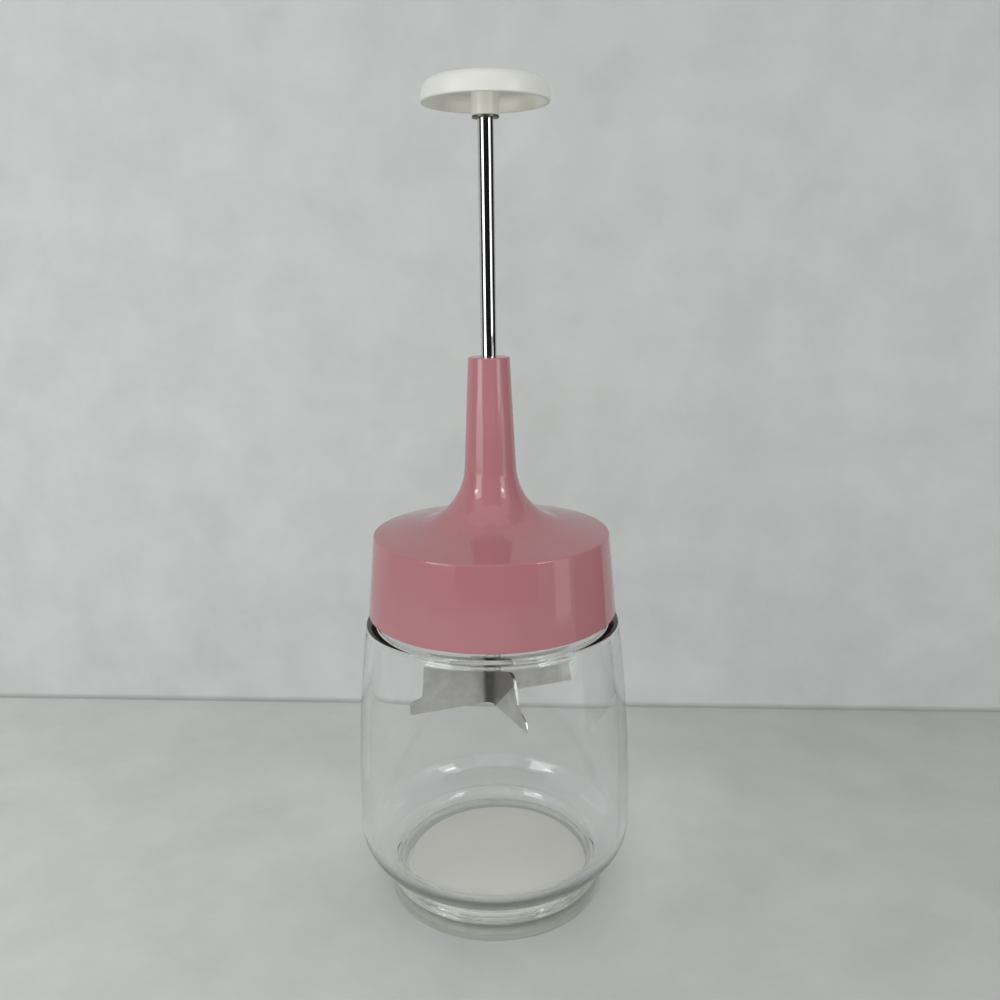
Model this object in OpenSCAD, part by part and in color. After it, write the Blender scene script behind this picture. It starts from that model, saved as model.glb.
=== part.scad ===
// Plunger food chopper: a glass jar with a loose chopping disc, a push-on lid with a tall
// guide neck, and a sprung, freely turning plunger with two bent blade plates at its foot.
// Frame: origin at the middle of the ring foot, +Z up, -Y towards the viewer.

/* [Jar] */
// Greatest outer radius of the jar
belly_r = 44.3; // [43.4:0.1:46]
// Height of the jar's greatest radius
belly_z = 27; // [25:0.5:34]
// Width of the shoulder ledge outside the neck finish
ledge_w = 4.65; // [3.6:0.05:6]
// Radius of the heel arc that turns under the belly
heel_arc_r = 12.9; // [11.6:0.1:13.4]
// Height of the centre of the heel arc
heel_z = 24.4; // [24:0.1:26]
// Wall of the jar
jar_wall = 3; // [2:0.1:3.4]
// Height of the shoulder ledge under the lid
shoulder_z = 93.2; // [89:0.1:100]
// Height of the neck finish above the shoulder ledge
finish_h = 23.8; // [22:0.1:29]
// Outer radius of the neck finish
finish_r = 35.2; // [34:0.1:36.5]
// Wall of the neck finish
finish_wall = 3.2; // [2.4:0.1:3.6]
// Outer radius of the ring foot
foot_r = 35; // [34.6:0.1:36]
// Height of the ring foot
foot_h = 6.8; // [6:0.1:7.4]
// Radius of the groove above the ring foot
waist_r = 33.8; // [33.4:0.1:34.2]
// Depth of the hollow under the ring foot
foot_hollow = 1.2; // [0.8:0.1:2]
// Thickness of the glass floor
floor_t = 2.8; // [2.2:0.1:3.6]

/* [Chopping disc] */
// Radius of the chopping disc
disc_r = 30; // [29.2:0.1:30.2]
// Thickness of the chopping disc
disc_t = 3; // [2:0.1:4]
// Loose fit of the disc in its well
disc_gap = 1; // [0.4:0.1:1.1]
// Share of that play by which the disc lies off centre
disc_off = 0.7; // [0:0.1:0.8]

/* [Lid] */
// Wall of the skirt at the lid's upper edge
edge_wall = 1.15; // [1.05:0.05:2.4]
// Wall of the skirt at its lower edge
skirt_wall = 3.45; // [3:0.05:4.4]
// Gap between the shoulder ledge and the skirt
skirt_gap = 2.8; // [2.2:0.1:6]
// Height of the lid's upper edge above its seat on the rim
roof_edge_t = 4.4; // [3.6:0.1:6]
// Slope of the lid's top in degrees
roof_slope = 10; // [7:0.5:14]
// Thickness of the sloping roof
roof_t = 2.6; // [1.8:0.1:3.4]
// Width of the flat seat on the jar's rim
seat_w = 6; // [5:0.1:8]
// Play of the skirt around the neck finish
skirt_play = 0.35; // [0.3:0.05:0.5]
// Play left by the grip ribs inside the skirt
rib_play = 0.05; // [0.03:0.01:0.1]
// Number of grip ribs inside the skirt
rib_count = 8; // [6:1:12]
// Width of a grip rib
rib_w = 1.6; // [1:0.1:2.4]
// Length of a grip rib
rib_h = 12; // [8:0.5:14]

/* [Guide neck] */
// Height of the neck's top above the lid's upper edge
neck_h = 53.7; // [46:0.1:60]
// Outer radius at the neck's top
neck_top_r = 6.3; // [6.1:0.1:6.8]
// Taper of the neck's side in degrees
neck_taper = 2.8; // [1:0.1:4]
// Radius of the sweep from the neck into the roof
sweep_r = 19; // [14:0.5:22]
// Radius of the spring bore in the neck
bore_r = 4.8; // [4.75:0.05:5]
// Wall across the top of the neck
neck_cap_t = 3; // [2:0.1:4]
// Outer radius of the tube that hangs under the roof
tube_r = 6.5; // [6.2:0.1:8]
// Height of the tube's end above the skirt's lower edge
tube_lift = 2; // [1.6:0.1:5]

/* [Guide bush] */
// Length of the bush inside the tube
bush_h = 4; // [3:0.1:6]
// Thickness of the bush's flange
flange_t = 1.4; // [1:0.1:1.6]
// Inset of the flange's rim from the tube's wall
flange_inset = 0.2; // [0:0.1:0.6]

/* [Plunger rod] */
// Diameter of the rod
rod_d = 4.76; // [4.6:0.02:4.8]
// Height of the knob's rim above the neck's top
knob_rise = 70.8; // [66:0.1:84]
// Drop from the skirt's lower edge to the cutting edges
blade_drop = 31.5; // [29:0.1:36]
// Running clearance of the rod in its guides
run_gap = 0.06; // [0.04:0.01:0.09]
// Clearance of parts that are pressed together
press_gap = 0.01; // [0.01:0.005:0.02]
// Chamfer at the rod's ends
rod_chamfer = 0.4; // [0.2:0.1:0.6]

/* [Knob] */
// Outer radius of the knob at its rim
knob_r = 18.5; // [16:0.1:21]
// Height of the knob's rim to its top
knob_h = 6.7; // [6.2:0.1:9]
// Wall of the knob's skirt
knob_wall = 1.5; // [1.2:0.1:2.2]
// Thickness of the knob's top
knob_top_t = 2; // [1.6:0.1:2.4]
// Radius of the rounded edge of the knob
knob_round = 3.8; // [3:0.1:5]
// Draft of the knob's side
knob_draft = 0.4; // [0:0.1:1]
// Rise of the knob's top at its middle
knob_dome = 0.3; // [0.1:0.1:0.8]
// Radius of the boss under the knob
boss_r = 3.9; // [3.6:0.1:4.6]
// Reach of the boss below the knob's rim
boss_drop = 3.4; // [2:0.1:5]
// Depth of the rod in the boss
rod_in_boss = 6.6; // [5:0.1:7]
// Radius of the thin washer under the boss
knob_washer_r = 3.85; // [3.4:0.05:4]
// Thickness of that washer
knob_washer_t = 0.5; // [0.4:0.1:0.8]

/* [Stop and spring] */
// Thickness of the stop clip
clip_t = 0.6; // [0.5:0.1:0.9]
// Outer radius of the stop clip
clip_r = 4.2; // [3.6:0.1:4.3]
// Depth of the clip's groove in the rod
groove_depth = 0.5; // [0.3:0.05:0.7]
// Width of the open side of the stop clip
clip_mouth = 2.8; // [2.4:0.1:3.2]
// Thickness of the spring washer
washer_t = 0.8; // [0.6:0.1:1.2]
// Play of the spring washer in the bore
washer_play = 0.3; // [0.2:0.05:0.5]
// Thickness of the spring's wire
wire_d = 0.9; // [0.7:0.05:0.95]
// Mean radius of the spring
spring_r = 3.7; // [3.6:0.05:3.8]
// Turns of the spring
spring_turns = 10; // [8:1:12]
// Rise of each end turn
end_pitch = 1.4; // [1.4:0.05:1.6]

/* [Blades] */
// Thickness of a blade plate
blade_t = 0.9; // [0.7:0.05:1.2]
// Height of a blade plate
blade_h = 15.2; // [14:0.1:18]
// Direction that the front plate faces, in degrees from +X
blade_face = 112.5; // [100:0.1:120]
// Half of the opening angle of each bent plate
wing_half = 47.2; // [42:0.1:52]
// Width of the web that is welded to the rod
web_w = 2.2; // [1.8:0.1:2.2]
// Distance from the rod's axis to the weld flats
flat_d = 2.1; // [2:0.02:2.16]
// Length of a wide wing at its cutting edge
wide_wing = 25.5; // [22:0.1:26.4]
// Length of a pointed wing at its cutting edge
point_wing = 23.7; // [21:0.1:25]
// Height of the toe at the end of a wide wing
toe_h = 3.2; // [2.5:0.1:5]
// Amount that a wide wing steps in above its toe
toe_step = 4.1; // [3:0.1:6]
// Extra length of the rear plate's wide wing
rear_extra = 0.5; // [0:0.1:1.2]
// Height of the rear plate above the front plate
rear_lift = 1.5; // [0:0.1:3]
// Thickness left at the ground edge of a pointed wing
edge_t = 0.3; // [0.2:0.05:0.5]
// Distance of the rod's end above the cutting edges
rod_end_lift = 2; // [1:0.1:4]

/* [Hidden] */
$fn = 96;

// Heights, from the table upwards
floor_z = foot_hollow + floor_t;
disc_top_z = floor_z + disc_t;
rim_z = shoulder_z + finish_h;
skirt_z = shoulder_z + skirt_gap;
lid_edge_z = rim_z + roof_edge_t;
neck_top_z = lid_edge_z + neck_h;
tube_z = skirt_z + tube_lift;
spring_z = tube_z + bush_h;
bore_top_z = neck_top_z - neck_cap_t;
clip_z = bore_top_z - clip_t;
washer_z = clip_z - washer_t;
knob_z = neck_top_z + knob_rise;
boss_z = knob_z - boss_drop;
blade_z = skirt_z - blade_drop;
rod_z = blade_z + rod_end_lift;
rod_top_z = boss_z + rod_in_boss;

// Radii that follow from the sizes above
rod_r = rod_d / 2;
run_r = rod_r + run_gap;
well_r = disc_r + disc_gap;
finish_in_r = finish_r - finish_wall;
shoulder_r = finish_r + ledge_w;
socket_r = finish_r + skirt_play;
lid_edge_r = socket_r + edge_wall;
skirt_r = socket_r + skirt_wall;
flange_r = tube_r - flange_inset;

// Points on an arc about [x, z] from angle a0 to a1, in n steps
function arc(x, z, r, a0, a1, n) =
    [for (i = [0:n]) let (a = a0 + (a1 - a0) * i / n) [x + r * cos(a), z + r * sin(a)]];

// Radius of the jar's side at a height, outside (t = 0) or inside (t = wall)
function side_r(z, t = 0) =
    belly_r - t - (belly_r - shoulder_r) * pow((z - belly_z) / (shoulder_z - belly_z), 2);
function side(z0, z1, t, n) = [for (i = [0:n]) let (z = z0 + (z1 - z0) * i / n) [side_r(z, t), z]];

// Jar: outline of the glass, from the middle of its underside round to the floor
heel_x = side_r(heel_z) - heel_arc_r;
heel_start = -acos((waist_r + 0.4 - heel_x) / heel_arc_r);
foot_round = 1;
ledge_round = 1.1;
neck_fillet = 2;
neck_in_r = 2;
neck_in_z = shoulder_z - 1.3 - neck_in_r;

// The inside turns under the belly with the heel, then back over a soft lip into the disc's well
well_bend = -70;
heel_in_r = heel_arc_r - jar_wall;
well_round = (heel_x + heel_in_r * cos(well_bend) - well_r) / (1 - cos(well_bend));
well_turn_z = heel_z + (heel_in_r + well_round) * sin(well_bend);

module jar() {
    outer = concat(
        [[0, foot_hollow], [foot_r - 9, foot_hollow], [foot_r - 5.6, 0.4], [foot_r - 4.6, 0]],
        arc(foot_r - foot_round, foot_round, foot_round, -90, 0, 5),
        arc(foot_r - foot_round, foot_h - foot_round, foot_round, 0, 60, 4),
        [[waist_r, foot_h + 1.3], [waist_r, foot_h + 2.8]],
        arc(heel_x, heel_z, heel_arc_r, heel_start, 0, 14),
        side(heel_z + 2, shoulder_z - ledge_round - 0.4, 0, 14),
        arc(side_r(shoulder_z - ledge_round) - ledge_round, shoulder_z - ledge_round,
            ledge_round, 8, 90, 6),
        arc(finish_r + neck_fillet, shoulder_z + neck_fillet, neck_fillet, -90, -180, 5));
    rim = concat(
        arc(finish_r - 1, rim_z - 1, 1, 0, 90, 5),
        arc(finish_in_r + 1, rim_z - 1, 1, 90, 180, 5));
    inner = concat(
        [[finish_in_r, shoulder_z + 1.7], [finish_in_r + 0.3, shoulder_z + 0.8]],
        arc(side_r(neck_in_z, jar_wall) - neck_in_r, neck_in_z, neck_in_r, 52, 8, 6),
        side(neck_in_z - 1, heel_z + 2, jar_wall, 12),
        arc(heel_x, heel_z, heel_in_r, 0, well_bend, 10),
        arc(well_r + well_round, well_turn_z, well_round, 190 + well_bend, 180, 6),
        [[well_r, floor_z + 0.5], [well_r - 0.5, floor_z], [0, floor_z]]);
    color("lightcyan", 0.4) rotate_extrude() polygon(concat(outer, rim, inner));
}

// Chopping disc: lies loose in the well of the jar's floor, a little to the right
module chopping_disc() {
    color("white") translate([disc_off * disc_gap, 0, 0]) rotate_extrude() polygon(concat(
        [[0, floor_z], [disc_r - 0.6, floor_z], [disc_r, floor_z + 0.6]],
        arc(disc_r - 0.8, disc_top_z - 0.8, 0.8, 0, 90, 5),
        [[0, disc_top_z]]));
}

// Lid: centre of the sweep that is tangent to the neck's side and to the roof
neck_normal = [cos(neck_taper), sin(neck_taper)];
roof_normal = [sin(roof_slope), cos(roof_slope)];
neck_reach = neck_normal * [neck_top_r, neck_top_z] + sweep_r;
roof_reach = roof_normal * [lid_edge_r, lid_edge_z] + sweep_r;
sweep_det = neck_normal[0] * roof_normal[1] - neck_normal[1] * roof_normal[0];
sweep_x = (neck_reach * roof_normal[1] - roof_reach * neck_normal[1]) / sweep_det;
sweep_z = (roof_reach * neck_normal[0] - neck_reach * roof_normal[0]) / sweep_det;
lid_round = 0.8;
neck_round = 0.5;
seat_in_r = socket_r - seat_w;
function under_roof_z(r) = lid_edge_z + (lid_edge_r - r) * tan(roof_slope) - roof_t;

module lid_shell() {
    rotate_extrude() polygon(concat(
        [[skirt_r, skirt_z]],
        arc(lid_edge_r - lid_round, lid_edge_z - lid_round, lid_round, 5, 90 - roof_slope, 5),
        arc(sweep_x, sweep_z, sweep_r, 270 - roof_slope, 180 + neck_taper, 18),
        arc(neck_top_r - neck_round, neck_top_z - neck_round, neck_round, 0, 90, 4),
        [[run_r, neck_top_z], [run_r, bore_top_z], [bore_r, bore_top_z], [bore_r, tube_z],
         [tube_r, tube_z], [tube_r, under_roof_z(tube_r)], [seat_in_r, under_roof_z(seat_in_r)],
         [seat_in_r, rim_z], [socket_r, rim_z], [socket_r, skirt_z]]));
}

module grip_rib() {
    rib_in = finish_r + rib_play;
    translate([rib_in, -rib_w / 2, rim_z - rib_h - 4])
        cube([socket_r - rib_in + 0.4, rib_w, rib_h]);
}

module lid() {
    color("palevioletred") union() {
        lid_shell();
        for (i = [0:rib_count - 1]) rotate(i * 360 / rib_count) grip_rib();
    }
}

// Guide bush: pressed into the tube's end, it guides the rod and carries the spring
module guide_bush() {
    color("whitesmoke") difference() {
        union() {
            translate([0, 0, tube_z]) cylinder(h = bush_h, r = bore_r - press_gap);
            translate([0, 0, tube_z - flange_t]) cylinder(h = flange_t, r = flange_r);
        }
        translate([0, 0, tube_z - flange_t - 1]) cylinder(h = bush_h + flange_t + 2, r = run_r);
    }
}

// Return spring: one unbroken wire with closer turns at both ends
coil_rings = 8;
wire_sides = 6;
seat_gap = 0.05;
spring_len = washer_z - spring_z - wire_d - 2 * seat_gap;
mid_pitch = (spring_len - 2 * end_pitch) / (spring_turns - 2);
function coil_z(u) = spring_z + seat_gap + wire_d / 2 + (
    u < 1 ? u * end_pitch :
    u > spring_turns - 1 ? spring_len - (spring_turns - u) * end_pitch :
    end_pitch + (u - 1) * mid_pitch);
ring_total = spring_turns * coil_rings;
wire_points = [for (i = [0:ring_total]) let (u = i / coil_rings, a = 360 * u)
    for (k = [0:wire_sides - 1]) let (b = 30 + 360 * k / wire_sides, r = spring_r + wire_d / 2 * cos(b))
        [r * cos(a), r * sin(a), coil_z(u) + wire_d / 2 * sin(b)]];
wire_faces = concat(
    [for (k = [1:wire_sides - 2]) [0, k, k + 1]],
    [for (i = [0:ring_total - 1], k = [0:wire_sides - 1]) let (n = (k + 1) % wire_sides)
        each [[i * wire_sides + k, (i + 1) * wire_sides + k, (i + 1) * wire_sides + n],
              [i * wire_sides + k, (i + 1) * wire_sides + n, i * wire_sides + n]]],
    [for (k = [1:wire_sides - 2]) let (e = ring_total * wire_sides) [e, e + k + 1, e + k]]);
wire_gap = min([for (i = [0:ring_total - coil_rings], k = [0:wire_sides - 1], m = [0:wire_sides - 1])
    norm(wire_points[i * wire_sides + k] - wire_points[(i + coil_rings) * wire_sides + m])]);
echo(least_gap_between_turns = wire_gap);

module return_spring() {
    color("silver") polyhedron(points = wire_points, faces = wire_faces, convexity = 10);
}

// Spring washer: slides with the plunger but doesn't turn with it
module spring_washer() {
    color("gainsboro") translate([0, 0, washer_z]) difference() {
        cylinder(h = washer_t, r = bore_r - washer_play);
        translate([0, 0, -1]) cylinder(h = washer_t + 2, r = run_r);
    }
}

// Stop clip: an open ring in the rod's groove that stops against the neck's cap
groove_r = rod_r - groove_depth;
module stop_clip() {
    color("dimgray") translate([0, 0, clip_z]) difference() {
        cylinder(h = clip_t, r = clip_r);
        translate([0, 0, -1]) cylinder(h = clip_t + 2, r = groove_r + press_gap);
        translate([0, -clip_mouth / 2, -1]) cube([clip_r + 1, clip_mouth, clip_t + 2]);
    }
}

// Plunger rod: polished bar with a clip groove and two weld flats
flat_h = blade_h + rear_lift - rod_end_lift + 0.6;
module weld_flat() {
    translate([flat_d, -rod_r - 1, rod_z - 1]) cube([rod_d, rod_d + 2, flat_h + 1]);
}
module plunger_rod() {
    color("lightgray") difference() {
        rotate_extrude() polygon([[0, rod_z], [rod_r - rod_chamfer, rod_z], [rod_r, rod_z + rod_chamfer],
            [rod_r, clip_z], [groove_r, clip_z], [groove_r, clip_z + clip_t], [rod_r, clip_z + clip_t],
            [rod_r, rod_top_z - rod_chamfer], [rod_r - rod_chamfer, rod_top_z], [0, rod_top_z]]);
        for (turn = [0, 180]) rotate(turn - blade_face) weld_flat();
    }
}

// Knob: a shallow cap, hollow underneath, with a boss that is pressed onto the rod
knob_top_z = knob_z + knob_h;
knob_edge_r = knob_r - knob_draft;
knob_in_z = knob_top_z - knob_dome - knob_top_t;
knob_in_round = knob_round - knob_wall;
module knob() {
    color("ivory") rotate_extrude() polygon(concat(
        [[knob_r - 0.4, knob_z], [knob_r, knob_z + 0.4]],
        arc(knob_edge_r - knob_round, knob_top_z - knob_dome - knob_round, knob_round, 0, 88, 10),
        [[knob_edge_r * 0.4, knob_top_z - knob_dome * 0.16], [0, knob_top_z],
         [0, rod_top_z + 0.2], [rod_r + press_gap, rod_top_z + 0.2], [rod_r + press_gap, boss_z],
         [boss_r - 0.3, boss_z], [boss_r, boss_z + 0.3], [boss_r, knob_in_z - 1], [boss_r + 1, knob_in_z]],
        arc(knob_edge_r - knob_wall - knob_in_round, knob_in_z - knob_in_round, knob_in_round, 90, 0, 6),
        [[knob_r - knob_wall, knob_z + 0.4], [knob_r - knob_wall + 0.3, knob_z]]));
}

// Knob washer: thin collar under the boss, tight on the rod
module knob_washer() {
    color("dimgray") translate([0, 0, boss_z - knob_washer_t]) difference() {
        cylinder(h = knob_washer_t, r = knob_washer_r);
        translate([0, 0, -1]) cylinder(h = knob_washer_t + 2, r = rod_r + press_gap);
    }
}

// Blade plates: a narrow web and two wings, bent from one strip and cut to shape at both ends
web_d = flat_d + blade_t / 2;
rear_wing = wide_wing + rear_extra;
strip_reach = rear_wing + 1;
wing_way = [cos(wing_half), sin(wing_half)];
wing_normal = [-sin(wing_half), cos(wing_half)] * blade_t / 2;
wing_tip = [web_d, web_w / 2] + strip_reach * wing_way;
strip_outside = concat([wing_tip + wing_normal],
    arc(web_d, web_w / 2, blade_t / 2, 90 + wing_half, 180, 4));
strip_inside = [[web_d + blade_t / 2, (web_w - blade_t * tan(45 - wing_half / 2)) / 2],
    wing_tip - wing_normal];
strip_half = concat(strip_inside, strip_outside);
strip_last = len(strip_half) - 1;
strip_plan = concat(strip_half,
    [for (i = [0:strip_last]) [strip_half[strip_last - i][0], -strip_half[strip_last - i][1]]]);

// End of each wing, from the cutting edge up
waist_wing = wide_wing - toe_step;
wide_end = concat([[wide_wing, -1], [wide_wing, toe_h]],
    arc(wide_wing - 1, toe_h, 1, 15, 80, 3),
    arc(waist_wing + 1.6, toe_h + 3, 1.6, 260, 185, 4),
    arc(waist_wing - 1.2, blade_h - 0.6, 0.6, 0, 85, 3), [[waist_wing - 1.2, blade_h + 1]]);
rear_end = concat([[rear_wing, -1], [rear_wing, 0], [rear_wing - 0.3, 2.4], [rear_wing - 1, 5.6]],
    arc(rear_wing - 3.4, blade_h - 2, 2, 0, 85, 5), [[rear_wing - 3.4, blade_h + 1]]);
bevel_r = point_wing - 7.1;
bevel_z = 11.4;
point_end = concat([[point_wing - 0.5, -1], [point_wing - 0.5, 0], [point_wing, 0.6], [point_wing - 0.1, 1.6]],
    [[point_wing - 1, 3.3], [point_wing - 3.5, 4.8], [point_wing - 5.8, 6.8], [bevel_r, bevel_z]],
    arc(bevel_r - 3.2, blade_h - 2.6, 2.6, 20, 85, 5), [[bevel_r - 3.2, blade_h + 1]]);

// A wing stands on its cutting edge; side = 1 turns it right, -1 left, seen from its front
module place_wing(side) {
    translate([web_d, side * web_w / 2, 0]) rotate(side * wing_half) rotate([90, 0, 0]) children();
}
module beyond(wing_end) {
    translate([0, 0, -3]) linear_extrude(6)
        polygon(concat(wing_end, [[strip_reach + 2, blade_h + 1], [strip_reach + 2, -1]]));
}
// Ground facet of the pointed wing: it thins from a slanting line down to the cutting edge
bevel_lean = atan(bevel_z / bevel_r);
bevel_tilt = atan((blade_t - edge_t) / (point_wing * sin(bevel_lean)));
module ground_facet() {
    translate([0, 0, blade_t / 2]) rotate(bevel_lean) rotate([bevel_tilt, 0, 0])
        translate([2, -2 * point_wing, 0]) cube([2 * point_wing, 2 * point_wing + 1, blade_t]);
}

module plate(wing_end) {
    difference() {
        linear_extrude(blade_h) polygon(strip_plan);
        place_wing(-1) beyond(wing_end);
        place_wing(1) beyond(point_end);
        place_wing(1) ground_facet();
    }
}

module blade_front() {
    color("slategray") translate([0, 0, blade_z]) rotate(-blade_face) plate(wide_end);
}
module blade_rear() {
    color("slategray") translate([0, 0, blade_z + rear_lift]) rotate(180 - blade_face) plate(rear_end);
}

jar();
chopping_disc();
lid();
guide_bush();
return_spring();
spring_washer();
stop_clip();
plunger_rod();
knob();
knob_washer();
blade_front();
blade_rear();
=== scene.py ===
import math

import bmesh
import bpy
from mathutils import Matrix, Vector


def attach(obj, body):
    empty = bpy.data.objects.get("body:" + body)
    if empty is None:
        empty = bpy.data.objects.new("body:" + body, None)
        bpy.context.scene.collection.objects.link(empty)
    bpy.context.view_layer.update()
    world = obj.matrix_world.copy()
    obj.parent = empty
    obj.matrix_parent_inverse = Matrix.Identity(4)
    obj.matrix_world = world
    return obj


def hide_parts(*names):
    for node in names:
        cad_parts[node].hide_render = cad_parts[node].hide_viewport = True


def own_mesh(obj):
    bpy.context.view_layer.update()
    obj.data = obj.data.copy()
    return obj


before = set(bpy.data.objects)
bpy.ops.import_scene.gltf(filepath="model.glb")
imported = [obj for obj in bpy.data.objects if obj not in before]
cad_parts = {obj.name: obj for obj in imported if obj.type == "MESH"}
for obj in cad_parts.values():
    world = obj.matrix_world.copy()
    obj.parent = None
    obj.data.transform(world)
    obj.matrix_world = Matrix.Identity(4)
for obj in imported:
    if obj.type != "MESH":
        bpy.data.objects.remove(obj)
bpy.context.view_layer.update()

# ---------------------------------------------------------------------------
# Jar. One pressed piece of clear soda glass: a ring foot, a turned-in heel, a long
# bellied side, a ledge under the lid and a plain neck that the lid grips.
# ---------------------------------------------------------------------------
MM = 0.001
BELLY_R, BELLY_Z, SHOULDER_R = 44.3, 27.0, 39.85
HEEL_ARC_R, HEEL_Z = 12.9, 24.4
GLASS_WALL = 3.0
SHOULDER_Z, RIM_Z = 93.2, 117.0
FINISH_R, FINISH_IN_R = 35.2, 32.0
FOOT_R, FOOT_H, WAIST_R = 35.0, 6.8, 33.8
FOOT_HOLLOW, FOOT_RING_W, FLOOR_Z, WELL_R = 1.2, 5.0, 4.0, 31.0
WELL_BEND = -70.0


def arc(x, z, r, start, end, steps):
    """Points on an arc in the (radius, height) plane, in degrees."""
    turns = [math.radians(start + (end - start) * i / steps) for i in range(steps + 1)]
    return [(x + r * math.cos(a), z + r * math.sin(a)) for a in turns]


def spin(name, outline, turns=192, crease=35.0):
    """A closed (radius, height) outline in millimetres, turned round the plunger's axis."""
    mesh_data = bmesh.new()
    rings = []
    for r, z in outline:
        if r < 1e-6:
            rings.append([mesh_data.verts.new((0, 0, z * MM))])
            continue
        angles = [2 * math.pi * i / turns for i in range(turns)]
        rings.append([mesh_data.verts.new((r * MM * math.cos(a), r * MM * math.sin(a), z * MM))
                      for a in angles])
    closed = len(rings[0]) > 1 or len(rings[-1]) > 1
    pairs = list(zip(rings, rings[1:])) + ([(rings[-1], rings[0])] if closed else [])
    for low, high in pairs:
        if len(low) == len(high) == 1:
            continue
        for i in range(turns):
            j = (i + 1) % turns
            corners = [low[i % len(low)], low[j % len(low)], high[j % len(high)], high[i % len(high)]]
            mesh_data.faces.new(list(dict.fromkeys(corners)))
    bmesh.ops.recalc_face_normals(mesh_data, faces=mesh_data.faces)
    return to_piece(name, mesh_data, crease)


def to_piece(name, mesh_data, crease):
    """Turns a bmesh into an object with smooth faces, creased where it bends sharply."""
    mesh = bpy.data.meshes.new(name)
    mesh_data.to_mesh(mesh)
    mesh_data.free()
    piece = bpy.data.objects.new(name, mesh)
    bpy.context.scene.collection.objects.link(piece)
    mesh.shade_smooth()
    mesh.set_sharp_from_angle(angle=math.radians(crease))
    return piece


def side_r(z, depth=0.0):
    """Radius of the jar's side at a height, outside or a depth inside the glass."""
    return BELLY_R - depth - (BELLY_R - SHOULDER_R) * ((z - BELLY_Z) / (SHOULDER_Z - BELLY_Z)) ** 2


def side_run(low, high, depth, steps):
    heights = [low + (high - low) * i / steps for i in range(steps + 1)]
    return [(side_r(z, depth), z) for z in heights]


heel_x = side_r(HEEL_Z) - HEEL_ARC_R
heel_start = -math.degrees(math.acos((WAIST_R + 0.4 - heel_x) / HEEL_ARC_R))
well_x = heel_x + (HEEL_ARC_R - GLASS_WALL) * math.cos(math.radians(WELL_BEND))
well_z = HEEL_Z + (HEEL_ARC_R - GLASS_WALL) * math.sin(math.radians(WELL_BEND))
well_round = (well_x - WELL_R) / (1 - math.cos(math.radians(WELL_BEND)))
well_turn_z = well_z + well_round * math.sin(math.radians(WELL_BEND))
neck_in = SHOULDER_Z - 3.3
jar_outline = (
    [(0, FOOT_HOLLOW), (FOOT_R - 9, FOOT_HOLLOW)]
    + arc(FOOT_R - FOOT_RING_W, 0.6, 0.6, 220, 270, 4)
    + arc(FOOT_R - 1, 1, 1, -90, 0, 8) + arc(FOOT_R - 1, FOOT_H - 1, 1, 0, 60, 6)
    + arc(WAIST_R + 1.4, FOOT_H + 2.1, 1.4, 235, 180, 5)
    + arc(heel_x, HEEL_Z, HEEL_ARC_R, heel_start, 0, 36)
    + side_run(HEEL_Z + 1.5, SHOULDER_Z - 1.4, 0, 40)
    + arc(side_r(SHOULDER_Z - 1.1) - 1.1, SHOULDER_Z - 1.1, 1.1, 8, 90, 10)
    + arc(FINISH_R + 2, SHOULDER_Z + 2, 2, 270, 180, 8)
    + arc(FINISH_R - 1, RIM_Z - 1, 1, 0, 90, 6) + arc(FINISH_IN_R + 1, RIM_Z - 1, 1, 90, 180, 6)
    + arc(FINISH_IN_R + 1.5, SHOULDER_Z + 1.7, 1.5, 180, 215, 4)
    + arc(side_r(neck_in, GLASS_WALL) - 2, neck_in, 2, 52, 4, 12)
    + side_run(neck_in - 1, HEEL_Z + 1.5, GLASS_WALL, 40)
    + arc(heel_x, HEEL_Z, HEEL_ARC_R - GLASS_WALL, 0, WELL_BEND, 24)
    + arc(WELL_R + well_round, well_turn_z, well_round, 180 + WELL_BEND, 180, 16)[1:]
    + arc(WELL_R - 0.5, FLOOR_Z + 0.5, 0.5, 0, -90, 5) + [(0, FLOOR_Z)])


def new_material(name):
    """A node material, its tree and its shader."""
    material = bpy.data.materials.new(name)
    material.use_nodes = True
    tree = material.node_tree
    return material, tree, tree.nodes["Principled BSDF"]


def coloured(hex_code):
    """Linear colour from a colour as it is seen on a screen."""
    parts = [int(hex_code[i:i + 2], 16) / 255 for i in (0, 2, 4)]
    return [p / 12.92 if p <= 0.04045 else ((p + 0.055) / 1.055) ** 2.4 for p in parts] + [1.0]


def noise(tree, scale, detail=2.0, stretch=(1, 1, 1), roughness=0.5):
    """Noise in the object's own metres, stretched along its axes."""
    place = tree.nodes.new("ShaderNodeTexCoord")
    size = tree.nodes.new("ShaderNodeMapping")
    size.inputs["Scale"].default_value = stretch
    spots = tree.nodes.new("ShaderNodeTexNoise")
    spots.inputs["Scale"].default_value = scale
    spots.inputs["Detail"].default_value = detail
    spots.inputs["Roughness"].default_value = roughness
    tree.links.new(place.outputs["Object"], size.inputs["Vector"])
    tree.links.new(size.outputs["Vector"], spots.inputs["Vector"])
    return spots.outputs["Fac"]


def remap(tree, value, low, high, start=0.3, stop=0.7):
    """A mask between start and stop, spread from low to high."""
    spread = tree.nodes.new("ShaderNodeMapRange")
    for socket, number in (("From Min", start), ("From Max", stop), ("To Min", low), ("To Max", high)):
        spread.inputs[socket].default_value = number
    tree.links.new(value, spread.inputs["Value"])
    return spread.outputs["Result"]


def bumped(tree, height, shader, strength, distance):
    bump = tree.nodes.new("ShaderNodeBump")
    bump.inputs["Strength"].default_value = strength
    bump.inputs["Distance"].default_value = distance
    tree.links.new(height, bump.inputs["Height"])
    tree.links.new(bump.outputs["Normal"], shader.inputs["Normal"])


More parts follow.
